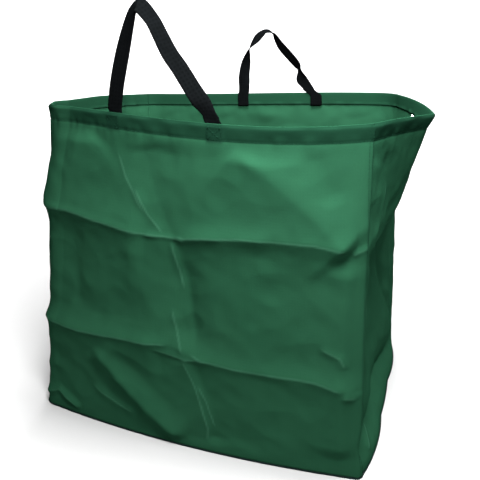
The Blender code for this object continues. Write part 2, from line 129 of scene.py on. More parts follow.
# Handles' middle lines: along as a share of half the spacing, up as a share of the height above
# the rim, and the turn of the webbing's flat in degrees
FRONT_LINE = (
    (-0.94, 0.27, 0), (-0.805, 0.565, 4), (-0.643, 0.857, 22), (-0.548, 0.966, 35),
    (-0.447, 0.998, 47), (-0.198, 0.871, 60), (-0.047, 0.742, 58), (0.124, 0.592, 50),
    (0.328, 0.46, 46), (0.565, 0.29, 42), (0.74, 0.173, 34), (0.85, 0.095, 10),
)
FRONT_CROSSINGS = (-1.0, 0.91)
REAR_LINE = (
    (-0.95, 0.31, 35), (-0.9, 0.487, 50), (-0.84, 0.64, 80), (-0.78, 0.752, 108),
    (-0.585, 0.89, 140), (-0.42, 0.971, 132), (-0.304, 1.0, 112), (-0.196, 0.977, 92),
    (-0.096, 0.922, 60), (0.051, 0.773, 42), (0.259, 0.624, 38), (0.5, 0.452, 44),
    (0.56, 0.365, 60), (0.62, 0.221, 14),
)
REAR_CROSSINGS = (-0.965, 0.8)

# Fineness of the walls
ARC_STEPS = 32
EDGE_STEPS = 60
FINE = 0.0025
COARSE = 0.005
ROW = 0.0025
LAP_STEPS = 4
RIM_STEPS = 8
HEM_STEPS = 10

# Cloth and hem
CLOTH = 0.0006
HEM_PUFF = 0.003
HEM_RAMP = 0.16
HEM_EDGE_INWARD = 0.0011
HEM_CLEARANCE = 0.001
STRAP_BULGE = 0.0008

# Painted shade on the doubled hem, less of it inside, and round the front left corner painted light
# takes most of it away
INNER_HEM_SHADE = 0.75
LIT_CORNER_HEM = 0.35
LIT_CORNER_PLACE = 0.03
LIT_CORNER_REACH = 0.13

# Stitches. Each is a short rod with tapered ends: share of its length, and share of its radius.
STITCH_DEPTH = 0.0008
STITCH_GROOVE = 0.002
STITCH_ROW = 0.0225
STITCH_PITCH = 0.0042
STITCH_SHARES = np.array([0.14, 0.86])
STITCH_TAPER = ((0.0, 0.45), (0.2, 1.0), (0.8, 1.0), (1.0, 0.45))
STITCH_SIDES = 6
THREAD = 0.00032
THREAD_LIFT = CLOTH / 2 + THREAD * 0.35
ASKEW = (0.31, 0.53, 0.79)
SEAM_STITCHES = (0.0012, 0.0068)

# Box with a cross that sews each handle end on: corners along and below the rim, and strokes
BOX_CORNERS = ((-0.01, 0.004), (0.01, 0.004), (0.01, 0.0215), (-0.01, 0.0215))
BOX_STROKES = ((0, 1), (1, 2), (2, 3), (3, 0), (0, 2), (1, 3))
BOX_STEPS = 6

# Base cloth: heights of its faces, and the half round of its edge
BASE_LOW = 0.0006
BASE_HIGH = 0.0022
BASE_SHARES = (0.0, 0.4, 0.8, 0.97)
EDGE_OUT = 0.0004
EDGE_MIDDLE = 0.0016
EDGE_RADIUS = 0.0014
EDGE_ARC_STEPS = 8

# The fold tables, as far as in_metres, are in millimetres.

# Height of the two creases round the bag, along each panel
LEVEL_CREASES = {
    "front": (
        ((-300, 189), (-188, 189), (-98, 195), (-12, 196), (32, 179), (96, 174), (225, 174),
         (275, 164)),
        ((-300, 402), (-195, 402), (-115, 392), (-45, 382), (15, 381), (48, 387), (105, 393),
         (210, 394), (275, 385)),
    ),
    "right": (((-230, 160), (240, 184)), ((-230, 370), (240, 380))),
    "back": (((-300, 182), (280, 184)), ((-300, 388), (280, 380))),
    "left": (((-240, 182), (240, 182)), ((-240, 398), (240, 388))),
}

# Two folds' lines, which the solids and the looks share
LOWER_LEFT_RIDGE = ((-165, 165), (-140, 135), (-93, 90), (-45, 50), (10, 12))
RIGHT_DIAGONAL = ((262, 378), (189, 446), (88, 530))

# Other folds of each panel: points along the panel and up it, how far the fold stands out, its
# reach on the left and on the right of its direction, and how far its ends fade
PANEL_FOLDS = {
    "front": (
        (((-50, 525), (-31, 448), (-9, 401), (4, 381), (18, 280), (30, 176), (60, 10)),
         -6, 130, 60, 20),
        (((-131, 533), (-187, 473), (-262, 405)), 6, 80, 80, 20),
        (RIGHT_DIAGONAL, 6, 100, 110, 20),
        (LOWER_LEFT_RIDGE, 6, 35, 50, 30),
    ),
    "right": (),
    "back": ((((-20, 520), (10, 10)), 4, 60, 60, 30),),
    "left": ((((10, 500), (0, 20)), -6, 70, 70, 30),),
}

# Broad soft folds that only the looks have
BROAD_FOLDS = {
    "front": (
        # Under the creases the cloth leans in
        (((-280, 402), (-195, 402), (-115, 392), (-45, 382)), 8, 60, 180, 30),
        (((15, 381), (48, 387), (105, 393), (210, 394), (275, 385)), 2.4, 26, 80, 30),
        (((-280, 189), (-188, 189), (-98, 195), (-30, 196)), 8.5, 30, 130, 30),
        # The vertical fold's steep flank, and the ridge beside it
        (((6, 360), (18, 280), (30, 176)), -8, 36, 56, 50),
        (((-75, 370), (-60, 280), (-45, 200)), 3.5, 40, 60, 30),
        # The left diagonal, the lower left ridge and the right diagonal
        (((-150, 540), (-200, 480), (-262, 405)), 6, 50, 60, 10),
        (LOWER_LEFT_RIDGE, 6.6, 34, 45, 30),
        (RIGHT_DIAGONAL, 7, 100, 80, 20),
        (((-189, 405), (-196, 340), (-200, 279), (-195, 215)), -4, 36, 50, 30),
        # Upper right dent, and the strip beside the right seam
        (((205, 528), (222, 480), (235, 445)), -3.6, 35, 28, 20),
        (((258, 372), (258, 261), (260, 179), (268, 30)), 10, 34, 80, 30),
    ),
    "right": (
        (((-170, 520), (-130, 440), (-80, 400)), -3, 40, 30, 30),
        (((20, 330), (56, 245), (113, 158)), -3, 40, 30, 30),
    ),
    "back": (
        (((-180, 520), (-90, 430), (-4, 384)), 4, 50, 60, 30),
        (((2, 184), (80, 110), (190, 30)), 4, 40, 50, 30),
    ),
    "left": (
        (((180, 510), (90, 430), (6, 394)), 3.5, 50, 50, 30),
        (((2, 182), (-90, 110), (-200, 40)), 3.5, 40, 50, 30),
    ),
}

# Smaller sharp folds, crossings and dents that only the looks have
SMALL_FOLDS = {
    "front": (
        # Lips of both creases
        (((-290, 402), (-195, 402), (-115, 392), (-45, 382), (-15, 382)), 2.2, 11, 12, 20),
        (((-5, 381), (15, 381), (48, 387), (105, 393), (160, 394)), 4.2, 22, 30, 30),
        (((100, 393), (210, 394), (262, 386)), 1.4, 14, 30, 20),
        (((-5, 382), (20, 383), (48, 388), (85, 391)), 2.8, 35, 8, 20),
        (((-290, 189), (-188, 189), (-98, 195), (-12, 197)), 2.4, 22, 12, 20),
        (((14, 188), (40, 178), (96, 174), (225, 174), (270, 165)), 2.6, 24, 18, 20),
        # Upper crossing
        (((-66, 455), (-42, 412), (-15, 382)), 2, 14, 14, 15),
        (((-52, 381), (-15, 382), (24, 378)), 2.2, 6, 8, 12),
        (((-6, 380), (3, 330), (10, 285)), 2.6, 18, 12, 20),
        (((-97, 512), (-80, 467), (-45, 408)), 1, 20, 16, 25),
        # Lower crossing
        (((-12, 262), (-2, 215), (10, 176)), 1.8, 7, 12, 18),
        (((2, 262), (10, 215), (18, 182)), -1.4, 12, 6, 18),
        (((-50, 186), (12, 174), (60, 179)), 2.2, 10, 10, 20),
        (((6, 176), (28, 118), (48, 45), (46, 14)), 2.8, 18, 34, 15),
        (((30, 128), (46, 95), (62, 45)), 1, 10, 8, 12),
        # Lower left
        (((-185, 80), (-160, 66), (-118, 50), (-88, 42)), 2, 15, 22, 18),
        (((-302, 208), (-280, 190), (-258, 192)), 3.5, 10, 12, 8),
        (((-300, 26), (-262, 42), (-246, 32), (-215, 13)), 7.5, 12, 18, 6),
        (((-296, 40), (-278, 60), (-268, 95)), -3, 16, 20, 20),
        # Beside the right seam
        (((224, 231), (257, 219), (268, 198)), 2.2, 10, 14, 12),
        (((262, 378), (284, 391)), 2, 8, 8, 6),
        (((262, 158), (290, 150)), 3.4, 12, 12, 8),
    ),
    "right": (
        (((-236, 62), (-200, 56), (-138, 48), (-69, 45), (13, 42), (100, 36), (200, 20)),
         -18, 70, 46, 12),
        (((-205, 374), (-140, 382), (-30, 388), (90, 396)), 5.5, 140, 26, 40),
        (((-190, 360), (-165, 300), (-150, 220)), 2, 14, 20, 30),
        (((20, 330), (56, 245), (113, 158), (160, 90)), -3.4, 16, 12, 25),
        (((110, 300), (128, 240), (140, 190)), 2, 12, 14, 20),
        (((-150, 52), (-190, 20)), 4, 14, 16, 10),
    ),
}

# On the unseen sides only the creases' lips
for unseen in ("back", "left"):
    lower, upper = LEVEL_CREASES[unseen]
    SMALL_FOLDS[unseen] = ((upper, 1.4, 14, 14, 0), (lower, 1.4, 16, 12, 0))


def in_metres(values):
    """The same nested numbers, from millimetres."""
    if isinstance(values, tuple):
        return tuple(in_metres(value) for value in values)
    return values / 1000


for table in (LEVEL_CREASES, PANEL_FOLDS, BROAD_FOLDS, SMALL_FOLDS):
    for panel in table:
        table[panel] = in_metres(table[panel])

# Panels: first post, number of sides, plan axis that runs along the panel, how far the lower and
# the upper crease stand out, and how many stray creases the panel has
PANELS = {
    "front": (FRONT_LEFT, 1, 0, 0.007, 0.008, 0),
    "right": (FRONT_RIGHT, 2, 1, 0.0, 0.0, 9),
    "back": (BACK_RIGHT, 1, 0, 0.004, 0.005, 12),
    "left": (BACK_LEFT, 2, 1, 0.003, 0.003, 9),
}

# Reach of the lower and of the upper crease, above and below the line
CREASE_REACH = ((0.04, 0.08), (0.15, 0.07))

# Rounding of the folds' tops, the width of the pale line along sharp ridges (wear and a painted
# highlight), and how softly the panels part
SHARP = 0.0015
ROUND = 0.004
SOFT = 0.007
RIDGE_WIDTH = 0.002
SEAM_BLEND = 0.08
CORNER_BLEND = 0.26

# How far the folds fade out below the hem and above the foot, and the unevenness beside a seam
FOLD_MARGIN = 0.028
FOOT_MARGIN = 0.03
SEAM_CALM = 0.1

# Unevenness of the walls: seed, number of waves, size and height. A crumple has no number.
RIPPLES = ((5, 9, 0.085, 0.0007), (8, 11, 0.03, 0.00022))
CRUMPLES = ((12, 0.11, 0.0011), (14, 0.055, 0.0005))
CRUMPLE_WAVES = 7
CRUMPLE_ROUNDING = 0.12

# Unevenness of the hem's puff, and its puckers: how far they are stretched downwards, and the wave
PUFF_RIPPLE = (21, 7, 0.05, 0.42)
PUCKERS = ((0.15, (31, 9, 0.016, 0.0004)), (0.3, (33, 7, 0.034, 0.0008)))
PUCKER_REACH = 0.014
PUCKER_RAMP = 0.01

# Camera of the photograph
CAMERA_PLACE = (0.3372, -0.9276, 0.6418)
CAMERA_HEADING = 0.3293
CAMERA_PITCH = 0.3388
CAMERA_LENS = 39.57
SENSOR = 36.0

# Pale floor that turns up into a round backdrop: radius and height
STAGE_OUTLINE = (
    (0.0, 0.0), (1.5, 0.0), (3.0, 0.0), (4.0, 0.0), (4.7, 0.15), (5.2, 0.6), (5.45, 1.3),
    (5.5, 2.2), (5.5, 3.2),
)
STAGE_DROP = 0.0002
STAGE_COLUMNS = 96
FLOOR_GREY = (0.33, 0.33, 0.33)

# World, and area lights: place, target, size and power
WORLD_STRENGTH = 0.05
LIGHTS = {
    "key": ((0.28, -0.6, 1.0), (0.1, -0.2, 0.3), (0.26, 0.26), 28.5),
    "side": ((0.58, -0.02, 1.3), (0.32, 0.0, 0.05), (0.3, 0.3), 24),
    "inside": ((0.05, -0.12, 1.3), (0.05, 0.24, 0.45), (0.5, 0.3), 39),
    "floor": ((-0.35, 2.1, 2.3), (-0.7, 0.3, 0.0), (1.0, 1.0), 135),
    "backdrop": ((-1.4, 3.2, 3.0), (-1.6, 5.0, 0.6), (4.6, 1.5), 820),
    "front_backdrop": ((0.0, -3.4, 3.0), (0.0, -5.0, 0.6), (6.0, 1.5), 90),
}

# Green cloth's colours, then weaves: colour, darker colour, roughness, thread size and depth
GREEN_BROAD = ((0.0072, 0.0355, 0.0178), (0.01, 0.043, 0.0222))
GREEN_FINE = (0.0082, 0.037, 0.02)
# Pale line on sharp ridges: wear, and a painted highlight
GREEN_WORN_AND_HIGHLIGHT = (0.03, 0.095, 0.058)
# Painted shade where a sewn strap lies under the hem
GREEN_STRAP_SHADE = (0.004, 0.014, 0.009)
# Painted shade on the doubled hem
GREEN_HEM_SHADE = (0.0025, 0.0115, 0.0065)
CLOTH_THREAD = 0.0007
BASE_WEAVE = ((0.006, 0.012, 0.01), (0.003, 0.006, 0.006), 0.6, 0.0008, 0.0001)
WEBBING_WEAVE = ((0.0017, 0.002, 0.0022), (0.001, 0.0012, 0.0013), 0.62, 0.0009, 0.00008)
THREAD_WEAVE = ((0.006, 0.03, 0.016), (0.004, 0.018, 0.01), 0.6, 0.0004, 0.00005)
LABEL_WEAVE = ((0.8, 0.82, 0.8), (0.7, 0.72, 0.7), 0.55, 0.0004, 0.00005)


def smooth(share):
    share = np.clip(share, 0.0, 1.0)
    return share * share * (3.0 - 2.0 * share)


def line_distance(points):
    """Distance from a line's start to each of its points."""
    steps = np.linalg.norm(np.diff(points, axis=0), axis=1)
    return np.concatenate([[0.0], np.cumsum(steps)])


# Wall surface

def ring(height):
    """The walls' plan line at a share of the height: points, normals, distances and post places."""
    posts = []
    for side, foot, rim, tuck, radius, _ in POSTS:
        spot = Vector((side[0] * LENGTH / 2, side[1] * WIDTH / 2))
        spot += Vector(foot).lerp(Vector(rim), height)
        above = float(smooth((height - UPPER_TUCK_FROM) / UPPER_TUCK_RAMP))
        spot.x += tuck * math.sin(math.pi * min(height, 1.0)) * (1 - (1 - UPPER_TUCK) * above)
        posts.append((spot, radius[0] + (radius[1] - radius[0]) * height))
    points = []
    halfway = []
    for index, (here, radius) in enumerate(posts):
        before = (posts[index - 1][0] - here).normalized() * radius
        following, next_radius = posts[(index + 1) % len(posts)]
        after = (following - here).normalized() * radius
        halfway.append(len(points) + ARC_STEPS // 2)
        for step in range(ARC_STEPS + 1):
            t = step / ARC_STEPS
            points.append(here + before * (1 - t) ** 2 + after * t ** 2)
        end = following + (here - following).normalized() * next_radius
        start = points[-1]
        outward = Vector((end.y - start.y, start.x - end.x)).normalized()
        foot_bow, rim_bow = BOWS[index]
        bow = foot_bow + (rim_bow - foot_bow) * height
        for step in range(1, EDGE_STEPS):
            t = step / EDGE_STEPS
            points.append(start.lerp(end, t) + outward * bow * 4 * t * (1 - t))
    line = np.array([tuple(p) for p in points])
    turns = np.vstack([line[-1], line, line[0]])
    tangent = turns[2:] - turns[:-2]
    normal = np.stack([tangent[:, 1], -tangent[:, 0]], axis=1)
    normal /= np.linalg.norm(normal, axis=1)[:, None]
    distance = line_distance(np.vstack([line, line[:1]]))
    return line, normal, distance, distance[halfway]


def rim_lengths():
    """Length of each side round the rim."""
    _, _, distance, halfway = ring(1.0)
    return (np.roll(halfway, -1) - halfway) % distance[-1]


RIM_LENGTHS = rim_lengths()


def rim_heights(places):
    """Height of the top edge at places round the bag, counted in posts from the front left."""
    post = np.floor(places).astype(int)
    share = places - post
    rises = np.array([entry[5] for entry in POSTS])
    blend = smooth(share)
    rise = rises[post % SIDES] * (1 - blend) + rises[(post + 1) % SIDES] * blend
    sag = FRONT_SAG * SAG_SCALE * share ** 2 * (1 - share)
    rise = rise - np.where(post % SIDES == FRONT_LEFT, sag, 0.0)
    return HEIGHT + rise


def round_distance(places):
    """Distance round the rim from the front left post."""
    starts = np.concatenate([[0.0], np.cumsum(RIM_LENGTHS)])
    post = np.floor(places).astype(int)
    before = starts[post % SIDES] + starts[SIDES] * (post // SIDES)
    return before + (places - post) * RIM_LENGTHS[post % SIDES]


def on_loop(places, distance, values):
    """Values at places along a closed line."""
    return np.interp(places, distance, np.append(values, values[0]))


def wall_rows(places, heights):
    """Plan points and outward normals of the bare wall, by height (rows) and place (columns)."""
    post = np.floor(places).astype(int) % SIDES
    share = places - np.floor(places)
    spots = np.zeros((len(heights), len(places), 2))
    normals = np.zeros_like(spots)
    for row, height in enumerate(heights):
        line, normal, distance, halfway = ring(height)
        length = (halfway[(post + 1) % SIDES] - halfway[post]) % distance[-1]
        along = (halfway[post] + share * length) % distance[-1]
        for axis in range(2):
            spots[row, :, axis] = on_loop(along, distance, line[:, axis])
            normals[row, :, axis] = on_loop(along, distance, normal[:, axis])
    normals /= np.linalg.norm(normals, axis=2)[:, :, None]
    return spots, normals


# Folds

def near_line(x, z, points):
    """Distance to a line of points, the side of it, and the distance along it and to its end."""
    best = np.full(x.shape, np.inf)
    side = np.zeros(x.shape)
    along = np.zeros(x.shape)
    gone = 0.0
    for (ax, az), (bx, bz) in zip(points[:-1], points[1:]):
        dx, dz = bx - ax, bz - az
        length = math.hypot(dx, dz)
        t = np.clip(((x - ax) * dx + (z - az) * dz) / length ** 2, 0, 1)
        apart = np.hypot(x - ax - t * dx, z - az - t * dz)
        closer = apart < best
        best = np.where(closer, apart, best)
        side = np.where(closer, np.sign(dx * (z - az) - dz * (x - ax)), side)
        along = np.where(closer, gone + t * length, along)
        gone += length
    return best, side, along, gone - along


def fold_field(x, z, folds, rounding):
    """Outward displacement of a panel's folds, and how close each point is to a sharp ridge."""
    height = np.zeros(x.shape)
    edge = np.zeros(x.shape)
    for points, depth, left, right, fade in folds:
        apart, side, gone, left_over = near_line(x, z, points)
        reach = np.where(side > 0, left, right)
        share = np.clip(1 - (np.hypot(apart, rounding) - rounding) / reach, 0, 1) ** 2
        ends = smooth(gone / fade) * smooth(left_over / fade) if fade else 1.0
        height += depth * share * ends
        # Sharp ridges get a pale line in the colour: wear, and a painted highlight
        if rounding == SHARP and depth > 0:
            edge = np.maximum(edge, np.exp(-(apart / RIDGE_WIDTH) ** 2) * ends)
    return height, edge


def stray_creases(name, count):
    """Short shallow creases strewn over a panel, the same on every run."""
    draw = np.random.default_rng(sorted(PANELS).index(name) + 3)
    folds = []
    for _ in range(count):
        x, z = draw.uniform(-0.26, 0.26), draw.uniform(0.05, 0.50)
        angle, half = draw.uniform(0, math.pi), draw.uniform(0.02, 0.06)
        bend = draw.uniform(-0.006, 0.006)
        run, rise = half * math.cos(angle), half * math.sin(angle)
        points = (
            (x - run, z - rise),
            (x - bend * math.sin(angle), z + bend * math.cos(angle)),
            (x + run, z + rise),
        )
        depth = draw.uniform(0.0004, 0.0010) * draw.choice((-1, 1))
        left, right = draw.uniform(0.010, 0.030), draw.uniform(0.010, 0.030)
        folds.append((points, depth, left, right, half * 0.6))
    return folds


def ripples(x, z, seed, waves, size, height):
    """Gentle unevenness: waves of about one size in every direction."""
    draw = np.random.default_rng(seed)
    total = 0.0
    for _ in range(waves):
        angle = draw.uniform(0, 2 * math.pi)
        step = 2 * math.pi / (size * draw.uniform(0.7, 1.6))
        across = x * math.cos(angle) + z * math.sin(angle)
        total = total + np.sin(across * step + draw.uniform(0, 2 * math.pi))
    return total * height / math.sqrt(waves)


def crumple(x, z, seed, size, height):
    """Unevenness that meets in thin bent ridges, as in cloth that was folded before."""
    return np.hypot(ripples(x, z, seed, CRUMPLE_WAVES, size, height), CRUMPLE_ROUNDING * height)


def round_gap(places, place):
    """How far places lie past another one, the shorter way round the bag."""
    return (places - place + SIDES / 2) % SIDES - SIDES / 2


def panel_share(places, first, sides):
    """How much each place belongs to a panel: sharply parted at seams, softly at folded corners."""
    shares = []
    for edge, way in ((first, 1), (first + sides, -1)):
        blend = SEAM_BLEND if edge % SIDES in (FRONT_RIGHT, BACK_LEFT) else CORNER_BLEND
        shares.append(smooth(0.5 + way * round_gap(places, edge) / blend))
    return shares[0] * shares[1]


def wall_relief(places, spots, z, rim):
    """Outward displacement of the whole wall and its sharp edges."""
    relief = np.zeros(z.shape)
    edge = np.zeros(z.shape)
    for name, (first, sides, axis, *depths, count) in PANELS.items():
        share = panel_share(places, first, sides)
        near = share > 0
        if not near.any():
            continue
        share = share[near][None, :]
        level = [(points, depth, *reach, 0.0)
                 for points, depth, reach in zip(LEVEL_CREASES[name], depths, CREASE_REACH)]
        firm = [*level, *PANEL_FOLDS[name]]
        sharp = [*SMALL_FOLDS[name], *stray_creases(name, count)]
        for folds, rounding in ((firm, ROUND), (BROAD_FOLDS[name], SOFT), (sharp, SHARP)):
            height, ridge = fold_field(spots[:, near, axis], z[:, near], folds, rounding)
            relief[:, near] += height * share
            edge[:, near] = np.maximum(edge[:, near], ridge * share)
    seams_round = (FRONT_RIGHT, BACK_LEFT, FRONT_RIGHT + SIDES)
    from_seam = np.min([np.abs(places - seam) for seam in seams_round], axis=0)
    distance = round_distance(places)[None, :]
    waves = sum(ripples(distance, z, *wave) for wave in RIPPLES)
    for wave in CRUMPLES:
        waves -= crumple(distance, z, *wave)
    relief += waves * smooth(from_seam / SEAM_CALM)[None, :]
    free = smooth((rim - z - HEM) / FOLD_MARGIN) * smooth(z / FOOT_MARGIN)
    return relief * free, edge * free


# Meshes

def new_item(name, data):
    item = bpy.data.objects.new(name, data)
    bpy.context.scene.collection.objects.link(item)
    return item


def grid_mesh(name, points, uv=None, attributes=None, close=False):
    """A quad mesh from points by row and column."""
    rows, columns = points.shape[:2]
    index = np.arange(rows * columns).reshape(rows, columns)
    if close:
        index = np.hstack([index, index[:, :1]])
    corners = (index[:-1, :-1], index[:-1, 1:], index[1:, 1:], index[1:, :-1])
    faces = np.stack(corners, axis=-1).reshape(-1, 4)
    mesh = bpy.data.meshes.new(name)
    mesh.from_pydata(points.reshape(-1, 3).tolist(), [], faces.tolist())
    if uv is not None:
        layer = mesh.uv_layers.new(name="cloth")
        corner_uv = uv.reshape(-1, 2)[faces.reshape(-1)]
        layer.data.foreach_set("uv", corner_uv.astype(np.float32).ravel())
    for key, values in (attributes or {}).items():
        made = mesh.attributes.new(key, "FLOAT", "POINT")
        made.data.foreach_set("value", values.astype(np.float32).ravel())
    mesh.shade_smooth()
    mesh.update()
    return new_item(name, mesh)


def thicken(item, thickness):
    shell = item.modifiers.new("thickness", "SOLIDIFY")
    shell.thickness = thickness
    shell.offset = 0.0
    shell.use_even_offset = False


def mend_mesh(item, mend):
    """Runs a mend on a mesh's bmesh, and turns its faces outwards."""
    work = bmesh.new()
    work.from_mesh(item.data)
    mend(work)
    bmesh.ops.recalc_face_normals(work, faces=work.faces)
    work.to_mesh(item.data)
    work.free()


def finish_piece(item, material, body, nodes):
    """Gives a piece its material, its body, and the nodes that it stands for."""
    item.data.materials.clear()
    item.data.materials.append(material)
    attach(item, body)
    if nodes:
        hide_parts(*nodes)
    return item


# Materials

def new_material(name, colour, roughness):
    made = bpy.data.materials.new(name)
    made.use_nodes = True
    shader = made.node_tree.nodes["Principled BSDF"]
    shader.inputs["Base Color"].default_value = (*colour, 1.0)
    shader.inputs["Roughness"].default_value = roughness
    return made, made.node_tree, shader


def mix_colour(tree, factor, first, second):
    """A colour mix node. Both colours may be sockets or plain values."""
    mix = tree.nodes.new("ShaderNodeMix")
    mix.data_type = "RGBA"
    sockets = {s.identifier: s for s in mix.inputs}
    for key, value in (("Factor_Float", factor), ("A_Color", first), ("B_Color", second)):
        if isinstance(value, bpy.types.NodeSocket):
            tree.links.new(value, sockets[key])
        else:
            sockets[key].default_value = (*value, 1.0)
    return next(s for s in mix.outputs if s.identifier == "Result_Color")


def new_node(tree, kind, values, sources):
    """A node with plain values and linked sockets on its inputs."""
    made = tree.nodes.new(kind)
    for key, value in values.items():
        made.inputs[key].default_value = value
    for key, source in sources.items():
        tree.links.new(source, made.inputs[key])
    return made


def value_range(tree, source, low, high, to_low, to_high):
    values = {"From Min": low, "From Max": high, "To Min": to_low, "To Max": to_high}
    return new_node(tree, "ShaderNodeMapRange", values, {"Value": source}).outputs["Result"]


def noise(tree, coordinates, scale, detail):
    values = {"Scale": scale, "Detail": detail}
    return new_node(tree, "ShaderNodeTexNoise", values, {"Vector": coordinates}).outputs["Fac"]


def attribute(tree, name):
    made = tree.nodes.new("ShaderNodeAttribute")
    made.attribute_name = name
    return made.outputs["Fac"]


def weave(tree, coordinates, size):
    """Height of a plain weave: threads of one size across each other.

    A band texture's angle is 20 times its scale and distance: a thread comes every 2 pi sizes.
    """
    waves = []
    for direction in ("X", "Y"):
        values = {"Scale": 1 / (size * 20), "Distortion": 0.0, "Detail": 0.0}
        wave = new_node(tree, "ShaderNodeTexWave", values, {"Vector": coordinates})
        wave.bands_direction = direction
        waves.append(wave.outputs["Fac"])
    higher = new_node(tree, "ShaderNodeMath", {}, dict(enumerate(waves)))
    higher.operation = "MAXIMUM"
    return higher.outputs[0]


def bump(tree, height, distance, strength, before=None):
    sources = {"Height": height} if before is None else {"Height": height, "Normal": before}
    values = {"Distance": distance, "Strength": strength}
    return new_node(tree, "ShaderNodeBump", values, sources).outputs["Normal"]


def cloth_material():
    """Green woven cloth with a thin matte coating, paler along sharp ridges for wear and a painted
    highlight, with painted shade on the doubled hem and where straps lie under it.
    """
    made, tree, shader = new_material("green_cloth", (0.01, 0.045, 0.023), 0.55)
    place = tree.nodes.new("ShaderNodeTexCoord")
    broad = noise(tree, place.outputs["Object"], 7.0, 4.0)
    fine = noise(tree, place.outputs["Object"], 60.0, 3.0)
    colour = mix_colour(tree, broad, *GREEN_BROAD)
    mottled = value_range(tree, fine, 0.35, 0.7, 0.0, 0.25)
    colour = mix_colour(tree, mottled, colour, GREEN_FINE)
    # Paler along sharp ridges: wear, and a painted highlight
    worn_and_highlight = value_range(tree, attribute(tree, "edge"), 0.2, 1.0, 0.0, 0.38)
    colour = mix_colour(tree, worn_and_highlight, colour, GREEN_WORN_AND_HIGHLIGHT)
    # Painted shade where a strap lies under the hem
    backing_and_shade = value_range(tree, attribute(tree, "backing_and_shade"), 0.0, 1.0, 0.0, 0.6)
    colour = mix_colour(tree, backing_and_shade, colour, GREEN_STRAP_SHADE)
    # Painted shade on the doubled hem
    hem_shading = value_range(tree, attribute(tree, "hem"), 0.0, 1.0, 0.0, 0.8)
    colour = mix_colour(tree, hem_shading, colour, GREEN_HEM_SHADE)
    tree.links.new(colour, shader.inputs["Base Color"])
    tree.links.new(value_range(tree, broad, 0.3, 0.7, 0.5, 0.6), shader.inputs["Roughness"])
    threads = weave(tree, place.outputs["UV"], CLOTH_THREAD)
    rough = bump(tree, fine, 0.0006, 0.35)
    tree.links.new(bump(tree, threads, 0.00008, 0.5, rough), shader.inputs["Normal"])
    shader.inputs["Specular IOR Level"].default_value = 0.0
    return made


def plain_weave_material(name, colour, darker, roughness, size, depth):
    """A matte woven tape or panel with threads of one size."""
    made, tree, shader = new_material(name, colour, roughness)
    place = tree.nodes.new("ShaderNodeTexCoord")
    threads = weave(tree, place.outputs["UV"], size)
    spots = noise(tree, place.outputs["Object"], 90.0, 2.0)
    mixed = mix_colour(tree, threads, darker, colour)
    spotted = value_range(tree, spots, 0.4, 0.7, 0.0, 0.5)
    mixed = mix_colour(tree, spotted, mixed, darker)
    tree.links.new(mixed, shader.inputs["Base Color"])
    tree.links.new(bump(tree, threads, depth, 0.8), shader.inputs["Normal"])
    shader.inputs["Specular IOR Level"].default_value = 0.0
    return made


# Cloth walls

def wall_columns(first_post):
    """Places round the bag for one strip, closer together on the front and the right end."""
    places = []
    for post in range(first_post, first_post + 3):
        fine = post % SIDES in (FRONT_LEFT, FRONT_RIGHT, RIGHT_CREASE)
        steps = round(RIM_LENGTHS[post % SIDES] / (FINE if fine else COARSE))
        places += [post + step / steps for step in range(steps)]
    last = first_post + 3
    lap = SEAM_LAP / RIM_LENGTHS[last % SIDES]
    places += [last + lap * step / LAP_STEPS for step in range(LAP_STEPS + 1)]
    return np.array(places)


def strap_backing(places, z, rim):
    """How much of a sewn strap lies under the hem: the hem bulges there, and the cloth's colour
    gets painted shade.
    """
    total = np.zeros(z.shape)
    for post, shift, sign in STRAPS:
        for side in (-1, 1):
            centre = post + 0.5 + (shift + sign * side * HANDLE_SPACING / 2) / RIM_LENGTHS[post]
            gap = np.abs(round_gap(places, centre)) * RIM_LENGTHS[post]
            across = smooth((WEBBING_WIDTH / 2 + 0.001 - gap) / 0.003)[None, :]
            total += across * smooth((z - rim + SEWN_LENGTH) / 0.003)
    return total


def hem_shape(distance, below, backing_and_shade):
    """How far the doubled hem stands out, leaning in to its stitches, and the puckers under it."""
    share = np.clip(below / HEM, 0, 1)
    uneven = 1 + ripples(distance, below, *PUFF_RIPPLE)
    start = smooth(share / HEM_RAMP)
    puff = HEM_PUFF * start * (1 - share) * uneven
    groove = STITCH_DEPTH * np.exp(-((below - STITCH_ROW) / STITCH_GROOVE) ** 2)
    drag = sum(ripples(distance, below * stretch, *wave) for stretch, wave in PUCKERS)
    drag *= smooth((below - PUCKER_RAMP) / PUCKER_RAMP)
    drag *= np.exp(-np.clip(below - HEM, 0, 1) / PUCKER_REACH)
    return puff - groove + drag + STRAP_BULGE * backing_and_shade * start


def under_lap(places, first_post):
    """How far a strip's first edge steps in under the lap of the other strip."""
    start = (places - first_post) * RIM_LENGTHS[first_post % SIDES]
    return LAP_IN * (1 - smooth((start - SEAM_LAP - LAP_MARGIN) / SEAM_STEP))


def wall_surface(places, heights, first_post=None):
    """The walls' middle surface by height (rows) and place (columns), with what the materials need.

    Gives points, outward normals, sharp ridges for the pale worn and painted-highlight line, and
    strap backing, which also carries painted shade.
    """
    rim = rim_heights(places)[None, :]
    spots, normals = wall_rows(places, heights)
    z = FOOT_HEIGHT + heights[:, None] * (rim - FOOT_HEIGHT)
    relief, edge = wall_relief(places, spots, z, rim)
    backing_and_shade = strap_backing(places, z, rim)
    distance = round_distance(places)[None, :]
    out = relief + hem_shape(distance, rim - z, backing_and_shade)
    if first_post is not None:
        out = out - under_lap(places, first_post)[None, :]
    return np.dstack([spots + normals * out[:, :, None], z]), normals, edge, backing_and_shade


